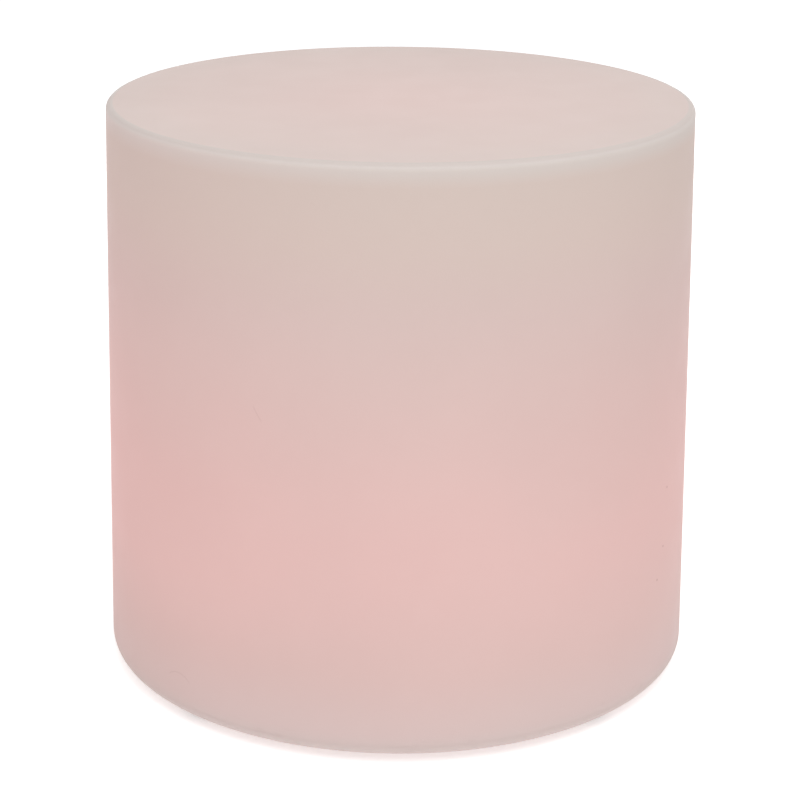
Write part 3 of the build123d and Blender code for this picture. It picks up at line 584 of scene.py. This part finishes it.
def moulding(name, colour, roughness, worn, grain=900.0, depth=0.15):
    """Moulded plastic or rubber with stipple, slow clouds, specks and rubbed streaks."""
    material, tree, shader, place = new_material(name)
    tint = place_group(tree, clouds, place=place, tint=(*colour, 1.0), scale=35.0, amount=0.03)
    rubbed = place_group(tree, scuffs, place=place, stretch=(1.0, 3.0, 1.0), scale=90.0, share=0.35)
    dirt = place_group(tree, specks, place=place, scale=120.0, size=0.08, share=0.08)
    tint = mix(tree, times(tree, rubbed, SCUFF_SHARE), tint, (*worn, 1.0))
    feed(tree, mix(tree, times(tree, dirt, DIRT_SHARE), tint, DIRT_TINT), shader["Base Color"])
    patches = noise(tree, place, scale=60.0, detail=3.0)
    dull = ramp(tree, patches, *NOISE_SPAN, roughness - DULL_SPREAD, roughness + DULL_SPREAD)
    feed(tree, maths(tree, "ADD", dull, times(tree, rubbed, SCUFF_DULLS)), shader["Roughness"])
    height = place_group(tree, stipple, place=place, grain=grain, wave=40.0, wave_share=0.5)
    raise_surface(tree, shader, height, strength=depth, distance=0.0003)
    return material


def bare_metal(name, colour, roughness):
    """Bare metal with fine tool lines and dull patches."""
    material, tree, shader, place = new_material(name)
    tint = place_group(tree, clouds, place=place, tint=(*colour, 1.0), scale=120.0, amount=0.10)
    lines = place_group(tree, scuffs, place=place, stretch=(1.0, 1.0, 12.0), scale=300.0, share=0.8)
    tint = mix(tree, times(tree, lines, TOOL_LINE_SHARE), tint, TOOL_LINE_TINT)
    feed(tree, tint, shader["Base Color"])
    dull = ramp(tree, lines, 0.0, 1.0, roughness, roughness + TOOL_LINE_DULLS)
    feed(tree, dull, shader["Roughness"])
    shader["Metallic"].default_value = 1.0
    raise_surface(tree, shader, lines, strength=0.08, distance=0.0001)
    return material


def clear_plastic(name, colour, roughness, clear):
    """Clear, frosted or milky plastic."""
    material, tree, shader, place = new_material(name)
    tint = place_group(tree, clouds, place=place, tint=(*colour, 1.0), scale=40.0, amount=0.03)
    feed(tree, tint, shader["Base Color"])
    frost = noise(tree, place, scale=400.0, detail=3.0)
    smooth = roughness * (1.0 - FROST_SPREAD)
    rough = roughness * (1.0 + FROST_SPREAD)
    feed(tree, ramp(tree, frost, *NOISE_SPAN, smooth, rough), shader["Roughness"])
    shader["Transmission Weight"].default_value = clear
    shader["IOR"].default_value = CLEAR_IOR
    height = place_group(tree, stipple, place=place, grain=1500.0, wave=60.0, wave_share=0.3)
    raise_surface(tree, shader, height, strength=0.1, distance=0.0002)
    return material


def lit_gel():
    """The fill in a light's window, lit pink."""
    material, tree, shader, place = new_material("gel_lit")
    tint = place_group(tree, clouds, place=place, tint=GEL_TINT, scale=500.0, amount=0.08)
    feed(tree, tint, shader["Base Color"])
    feed(tree, mix(tree, 1.0, tint, GEL_GLOW, "MULTIPLY"), shader["Emission Color"])
    shader["Emission Strength"].default_value = 1.0
    shader["Roughness"].default_value = GEL_ROUGHNESS
    return material


def lacquered_board(name, colour, run_colour):
    """Lacquered circuit board. Its copper runs go round the middle in rings, broken here and there."""
    material, tree, shader, place = new_material(name)
    off_run = maths(tree, "PINGPONG", reach_from_middle(tree, place), RUN_SPACING)
    ring = ramp(tree, off_run, *RUN_EDGE, 1.0, 0.0)
    kept = ramp(tree, noise(tree, place, scale=28.0, detail=1.0), *RUN_BREAKS)
    run = times(tree, ring, kept)
    tint = place_group(tree, clouds, place=place, tint=(*colour, 1.0), scale=80.0, amount=0.04)
    feed(tree, mix(tree, times(tree, run, RUN_SHARE), tint, (*run_colour, 1.0)), shader["Base Color"])
    feed(tree, ramp(tree, run, 0.0, 1.0, BOARD_ROUGHNESS, RUN_ROUGHNESS), shader["Roughness"])
    raise_surface(tree, shader, run, strength=0.2, distance=0.00005)
    return material


finishes = {
    "shell_pe": drum_polythene(),
    "brass": bare_metal("brass_turned", (0.72, 0.50, 0.22), 0.28),
    "foot_rubber": moulding("foot_rubber_black", (0.028, 0.028, 0.028), 0.72, DUST, 1400.0, 0.4),
    "seal_silicone": moulding("silicone_grey", (0.50, 0.50, 0.48), 0.55, (0.60, 0.60, 0.58)),
    "case_white": moulding("case_white_plastic", (0.76, 0.755, 0.73), 0.42, (0.60, 0.58, 0.55)),
    "steel": bare_metal("steel_plated", (0.60, 0.60, 0.61), 0.30),
    "dome_clear": clear_plastic("dome_frosted", (0.94, 0.94, 0.94), 0.35, 1.0),
    "board_white": lacquered_board("board_white_lacquer", (0.80, 0.82, 0.80), (0.70, 0.71, 0.68)),
    "led_case": moulding("light_case_white", (0.85, 0.85, 0.80), 0.40, (0.75, 0.74, 0.68)),
    "led_gel": lit_gel(),
    "black_plastic": moulding("plastic_black", (0.020, 0.020, 0.022), 0.42, DUST, 1600.0, 0.25),
    "capacitor_can": bare_metal("can_aluminium", (0.75, 0.75, 0.77), 0.32),
    "nylon": moulding("nylon_natural", (0.78, 0.75, 0.65), 0.45, (0.66, 0.62, 0.52)),
    "wrap_blue": moulding("shrink_sleeve_blue", (0.02, 0.10, 0.32), 0.25, WORN_SLEEVE, 300.0, 0.1),
    "guard_green": lacquered_board("board_green_lacquer", (0.012, 0.11, 0.045), (0.03, 0.22, 0.09)),
    "foam_black": moulding("foam_black_open", (0.03, 0.03, 0.03), 0.90, DUST, 1200.0, 0.9),
    "cover_rubber": moulding("flap_rubber_grey", (0.16, 0.16, 0.165), 0.65, WORN_FLAP, 1500.0, 0.35),
    "button_grey": moulding("button_grey_plastic", (0.28, 0.29, 0.31), 0.38, (0.36, 0.36, 0.37)),
    "pipe_clear": clear_plastic("pipe_clear_plastic", (0.80, 0.82, 0.80), 0.12, 0.6),
    "wire_red": moulding("wire_red_sleeve", (0.50, 0.02, 0.02), 0.35, (0.55, 0.10, 0.09)),
    "wire_black": moulding("wire_black_sleeve", (0.02, 0.02, 0.02), 0.35, DUST),
    "wire_blue": moulding("wire_blue_sleeve", (0.02, 0.06, 0.36), 0.35, (0.08, 0.12, 0.38)),
    "wire_white": moulding("wire_white_sleeve", (0.78, 0.78, 0.76), 0.35, (0.66, 0.65, 0.62)),
}
slot_of = {row["node"]: row["material_slot"] for row in frame["record"]["subparts"]}
for name, node in nodes.items():
    node.data.materials.clear()
    node.data.materials.append(finishes[slot_of[name]])


# New pieces

def make_piece(work, name, slot, sharp_degrees=SHARP_DEGREES):
    """Turns a bmesh into an object with smooth faces and its finish."""
    mesh = bpy.data.meshes.new(name)
    work.to_mesh(mesh)
    work.free()
    mesh.shade_smooth()
    mesh.set_sharp_from_angle(angle=math.radians(sharp_degrees))
    mesh.materials.append(finishes[slot])
    piece = bpy.data.objects.new(name, mesh)
    scene.collection.objects.link(piece)
    return piece


def eased(corners):
    """Adds a point each side of a rounded corner, so that the flats beside it shade flat."""
    line = []
    for number, (r, z, rounding) in enumerate(corners):
        here = Vector((r, z))
        if rounding == 0:
            line.append((here, 0.0))
            continue
        step = rounding + EDGE_EASE
        back = Vector(corners[number - 1][:2]) - here
        ahead = Vector(corners[number + 1][:2]) - here
        line.append((here + back.normalized() * step, 0.0))
        line.append((here, rounding))
        line.append((here + ahead.normalized() * step, 0.0))
    return line


def spin_profile(work, line):
    """Draws a profile with rounded corners and spins it about Z into a closed skin."""
    points = [work.verts.new((here.x, 0.0, here.y)) for here, rounding in line]
    for first, second in zip(points, points[1:]):
        work.edges.new((first, second))
    for point, (here, rounding) in zip(points, line):
        if rounding > 0:
            bmesh.ops.bevel(work, geom=[point], offset=rounding, offset_type="OFFSET",
                            segments=EDGE_STEPS, profile=0.5, affect="VERTICES", material=-1)
    bmesh.ops.spin(work, geom=work.verts[:] + work.edges[:], cent=(0, 0, 0), axis=(0, 0, 1),
                   angle=math.tau, steps=TURN_STEPS, use_merge=True)
    bmesh.ops.remove_doubles(work, verts=work.verts[:], dist=MERGE_WITHIN)
    bmesh.ops.recalc_face_normals(work, faces=work.faces[:])


def make_drum():
    """The drum's skin, from the middle of the top round to the opening below and back inside."""
    lean = math.atan2(BASE_RADIUS - TOP_RADIUS, TOP_Z - RING_Z)
    inset = WALL / math.cos(lean)
    drift = WALL * math.tan(lean)
    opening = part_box("dome_seal")[1].x + SEAL_GAP
    corners = [
        (0.0, TOP_Z, 0.0),
        (TOP_RINGS[0], TOP_Z, 0.0),
        (TOP_RINGS[1], TOP_Z, 0.0),
        (TOP_RADIUS, TOP_Z, TOP_EDGE),
        (BASE_RADIUS, RING_Z, BASE_EDGE),
        (RECESS_RADIUS, RING_Z, RECESS_EDGE),
        (RECESS_RADIUS, PANEL_Z, RECESS_EDGE),
        (opening, PANEL_Z, OPENING_EDGE),
        (opening, PANEL_Z + WALL, OPENING_EDGE),
        (RECESS_RADIUS + WALL, PANEL_Z + WALL, RECESS_EDGE + WALL),
        (RECESS_RADIUS + WALL, RING_Z + WALL, RECESS_EDGE - WALL),
        (BASE_RADIUS - drift - inset, RING_Z + WALL, BASE_EDGE - WALL),
        (TOP_RADIUS + drift - inset, TOP_Z - WALL, INNER_TOP_EDGE),
        (0.0, TOP_Z - WALL, 0.0),
    ]
    work = bmesh.new()
    spin_profile(work, eased(corners))
    drum = make_piece(work, "drum_skin", "shell_pe")
    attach(drum, "stool")
    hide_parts("body_shell")
    return drum


def add_bar(work, radius, low, high, x, y):
    """A round bar along Z, turned so that none of its corners falls on a line of the drum's skin."""
    turn = Matrix.Rotation(math.pi / BAR_SIDES, 4, "Z")
    place = Matrix.Translation((x, y, (low + high) / 2)) @ turn
    bmesh.ops.create_cone(work, cap_ends=True, segments=BAR_SIDES, radius1=radius, radius2=radius,
                          depth=high - low, matrix=place)


def around(count, radius, first_turn):
    """Places evenly spaced on a circle."""
    turns = [first_turn + math.tau * number / count for number in range(count)]
    return [(radius * math.cos(turn), radius * math.sin(turn)) for turn in turns]


def combine(piece, shapes, operation):
    """Joins shapes to a piece, or cuts them out of it, and keeps the result as its mesh."""
    mesh = bpy.data.meshes.new("shapes")
    shapes.to_mesh(mesh)
    shapes.free()
    tool = bpy.data.objects.new("shapes", mesh)
    scene.collection.objects.link(tool)
    step = piece.modifiers.new("combine", "BOOLEAN")
    step.operation = operation
    step.solver = "EXACT"
    step.object = tool
    bpy.context.view_layer.update()
    shown = piece.evaluated_get(bpy.context.evaluated_depsgraph_get())
    result = bpy.data.meshes.new_from_object(shown)
    piece.modifiers.clear()
    piece.data = result
    bpy.data.objects.remove(tool)


def fit_drum(drum):
    """Bosses for the brass threads, with a bore in each, and a pocket and a hole for each foot."""
    inserts = around(INSERT_COUNT, INSERT_CIRCLE, 0.0)
    feet = around(FOOT_COUNT, FOOT_CIRCLE, math.pi / FOOT_COUNT)
    bosses = bmesh.new()
    for x, y in inserts:
        add_bar(bosses, INSERT_BOSS_RADIUS, PANEL_Z + WALL / 2, INSERT_BOSS_Z, x, y)
    combine(drum, bosses, "UNION")
    pockets = bmesh.new()
    for x, y in inserts:
        add_bar(pockets, INSERT_BORE_RADIUS, PANEL_Z - CUT_OVER, INSERT_BORE_Z, x, y)
    for x, y in feet:
        add_bar(pockets, FOOT_POCKET_RADIUS, RING_Z - CUT_OVER, RING_Z + FOOT_POCKET_DEPTH, x, y)
    combine(drum, pockets, "DIFFERENCE")
    holes = bmesh.new()
    for x, y in feet:
        add_bar(holes, FOOT_HOLE_RADIUS, RING_Z - CUT_OVER, RING_Z + WALL + CUT_OVER, x, y)
    combine(drum, holes, "DIFFERENCE")
    drum.data.set_sharp_from_angle(angle=math.radians(SHARP_DEGREES))


def make_spring():
    """The button's coil, drawn in the space of the solid that it hides."""
    low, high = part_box("button_spring")
    middle = (low + high) / 2
    reach = (high.x - low.x - SPRING_WIRE) / 2
    rise = high.z - low.z - SPRING_WIRE
    steps = round(SPRING_TURNS * SPRING_STEPS_PER_TURN)
    work = bmesh.new()
    start = Matrix.Translation((middle.x + reach, middle.y, low.z + SPRING_WIRE / 2))
    upright = Matrix.Rotation(math.pi / 2, 4, "X")
    bmesh.ops.create_circle(work, segments=SPRING_WIRE_SIDES, radius=SPRING_WIRE / 2,
                            matrix=start @ upright)
    bmesh.ops.spin(work, geom=work.verts[:] + work.edges[:], cent=middle, axis=(0, 0, 1),
                   dvec=(0, 0, rise / steps), angle=math.tau * SPRING_TURNS, steps=steps)
    bmesh.ops.holes_fill(work, edges=work.edges[:], sides=0)
    bmesh.ops.remove_doubles(work, verts=work.verts[:], dist=SPRING_MERGE_WITHIN)
    bmesh.ops.recalc_face_normals(work, faces=work.faces[:])
    spring = make_piece(work, "spring_coil", "steel", SPRING_SHARP_DEGREES)
    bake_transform(spring)
    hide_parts("button_spring")


def make_flap_web():
    """The thin rubber web that joins the flap to its anchor."""
    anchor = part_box("cover_anchor")
    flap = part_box("charge_cover")
    hinge_x = flap[0].x + WEB_REACH
    start_x = anchor[1].x - WEB_REACH
    middle_y = (anchor[0].y + anchor[1].y) / 2
    work = bmesh.new()
    place = Matrix.Translation(((start_x + hinge_x) / 2, middle_y, WEB_Z))
    size = Matrix.Diagonal((hinge_x - start_x, WEB_WIDTH, WEB_THICKNESS, 1.0))
    bmesh.ops.create_cube(work, size=1.0, matrix=place @ size)
    along = []
    for edge in work.edges:
        first, second = edge.verts
        if abs(first.co.x - second.co.x) > WEB_THICKNESS:
            along.append(edge)
    bmesh.ops.subdivide_edges(work, edges=along, cuts=WEB_CUTS)
    rims = [edge for edge in work.edges if edge.calc_face_angle() > WEB_EDGE_ANGLE]
    bmesh.ops.bevel(work, geom=rims, offset=WEB_EDGE, offset_type="OFFSET", segments=WEB_EDGE_STEPS,
                    profile=0.5, affect="EDGES", material=-1)
    bmesh.ops.recalc_face_normals(work, faces=work.faces[:])
    web = make_piece(work, "flap_web", "cover_rubber")
    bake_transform(web)


fit_drum(make_drum())
make_spring()
make_flap_web()


# Camera, floor and light

def make_camera():
    data = bpy.data.cameras.new("camera")
    data.sensor_width = CAMERA_FRAME
    data.lens = CAMERA_LENS
    data.clip_end = CAMERA_SEES_TO
    camera = bpy.data.objects.new("camera", data)
    scene.collection.objects.link(camera)
    turn = Matrix.Rotation(math.pi / 2 - CAMERA_PITCH, 4, "X") @ Matrix.Rotation(CAMERA_ROLL, 4, "Z")
    camera.matrix_world = Matrix.Translation(CAMERA_PLACE) @ turn
    scene.camera = camera


def make_floor():
    """A wide pale floor that keeps the shadow, white where it is seen and clear from below.

    Under the drum, where it is never seen, it lets the room's light up to the underside.
    """
    work = bmesh.new()
    bmesh.ops.create_circle(work, cap_ends=True, segments=FLOOR_SIDES, radius=FLOOR_RADIUS)
    mesh = bpy.data.meshes.new("floor")
    work.to_mesh(mesh)
    work.free()
    floor = bpy.data.objects.new("floor", mesh)
    scene.collection.objects.link(floor)
    material = bpy.data.materials.new("floor_pale")
    material.use_nodes = True
    tree = material.node_tree
    tree.nodes.remove(tree.nodes["Principled BSDF"])
    matte = add_node(tree, "ShaderNodeBsdfDiffuse")
    matte.inputs["Color"].default_value = FLOOR_TINT
    lift = add_node(tree, "ShaderNodeEmission")
    feed(tree, times(tree, seen_rays(tree), FLOOR_LIFT), lift.inputs["Strength"])
    both = add_node(tree, "ShaderNodeAddShader")
    feed(tree, matte.outputs[0], both.inputs[0])
    feed(tree, lift.outputs[0], both.inputs[1])
    clear = add_node(tree, "ShaderNodeBsdfTransparent")
    spot = add_node(tree, "ShaderNodeNewGeometry")
    under_drum = maths(tree, "LESS_THAN", reach_from_middle(tree, spot.outputs["Position"]), UNDER_DRUM)
    unseen = maths(tree, "SUBTRACT", 1.0, seen_rays(tree))
    see_through = maths(tree, "MAXIMUM", spot.outputs["Backfacing"], times(tree, under_drum, unseen))
    sides = add_node(tree, "ShaderNodeMixShader")
    feed(tree, see_through, sides.inputs[0])
    feed(tree, both.outputs[0], sides.inputs[1])
    feed(tree, clear.outputs[0], sides.inputs[2])
    feed(tree, sides.outputs[0], tree.nodes["Material Output"].inputs["Surface"])
    mesh.materials.append(material)


def seen_rays(tree):
    """1 on rays that show a surface to the camera, straight or by way of a mirror or glass."""
    rays = add_node(tree, "ShaderNodeLightPath").outputs
    straight = rays["Is Camera Ray"]
    bounced = maths(tree, "MAXIMUM", rays["Is Glossy Ray"], rays["Is Transmission Ray"])
    return maths(tree, "MAXIMUM", straight, bounced)


def make_world():
    """Even light from all round, and plain white where it is seen."""
    world = bpy.data.worlds.new("studio")
    scene.world = world
    world.use_nodes = True
    tree = world.node_tree
    background = tree.nodes["Background"]
    background.inputs["Color"].default_value = ROOM_TINT
    level = ramp(tree, seen_rays(tree), 0.0, 1.0, ROOM_LIGHT, 1.0, "LINEAR")
    feed(tree, level, background.inputs["Strength"])


def make_softbox(name, place, aim, width, depth, power):
    data = bpy.data.lights.new(name, "AREA")
    data.shape = "RECTANGLE"
    data.size = width
    data.size_y = depth
    data.energy = power
    lamp = bpy.data.objects.new(name, data)
    lamp.visible_camera = False
    scene.collection.objects.link(lamp)
    direction = Vector(aim) - Vector(place)
    turn = direction.to_track_quat("-Z", "Y").to_matrix().to_4x4()
    lamp.matrix_world = Matrix.Translation(place) @ turn


make_camera()
make_floor()
make_world()
for softbox in SOFTBOXES:
    make_softbox(*softbox)
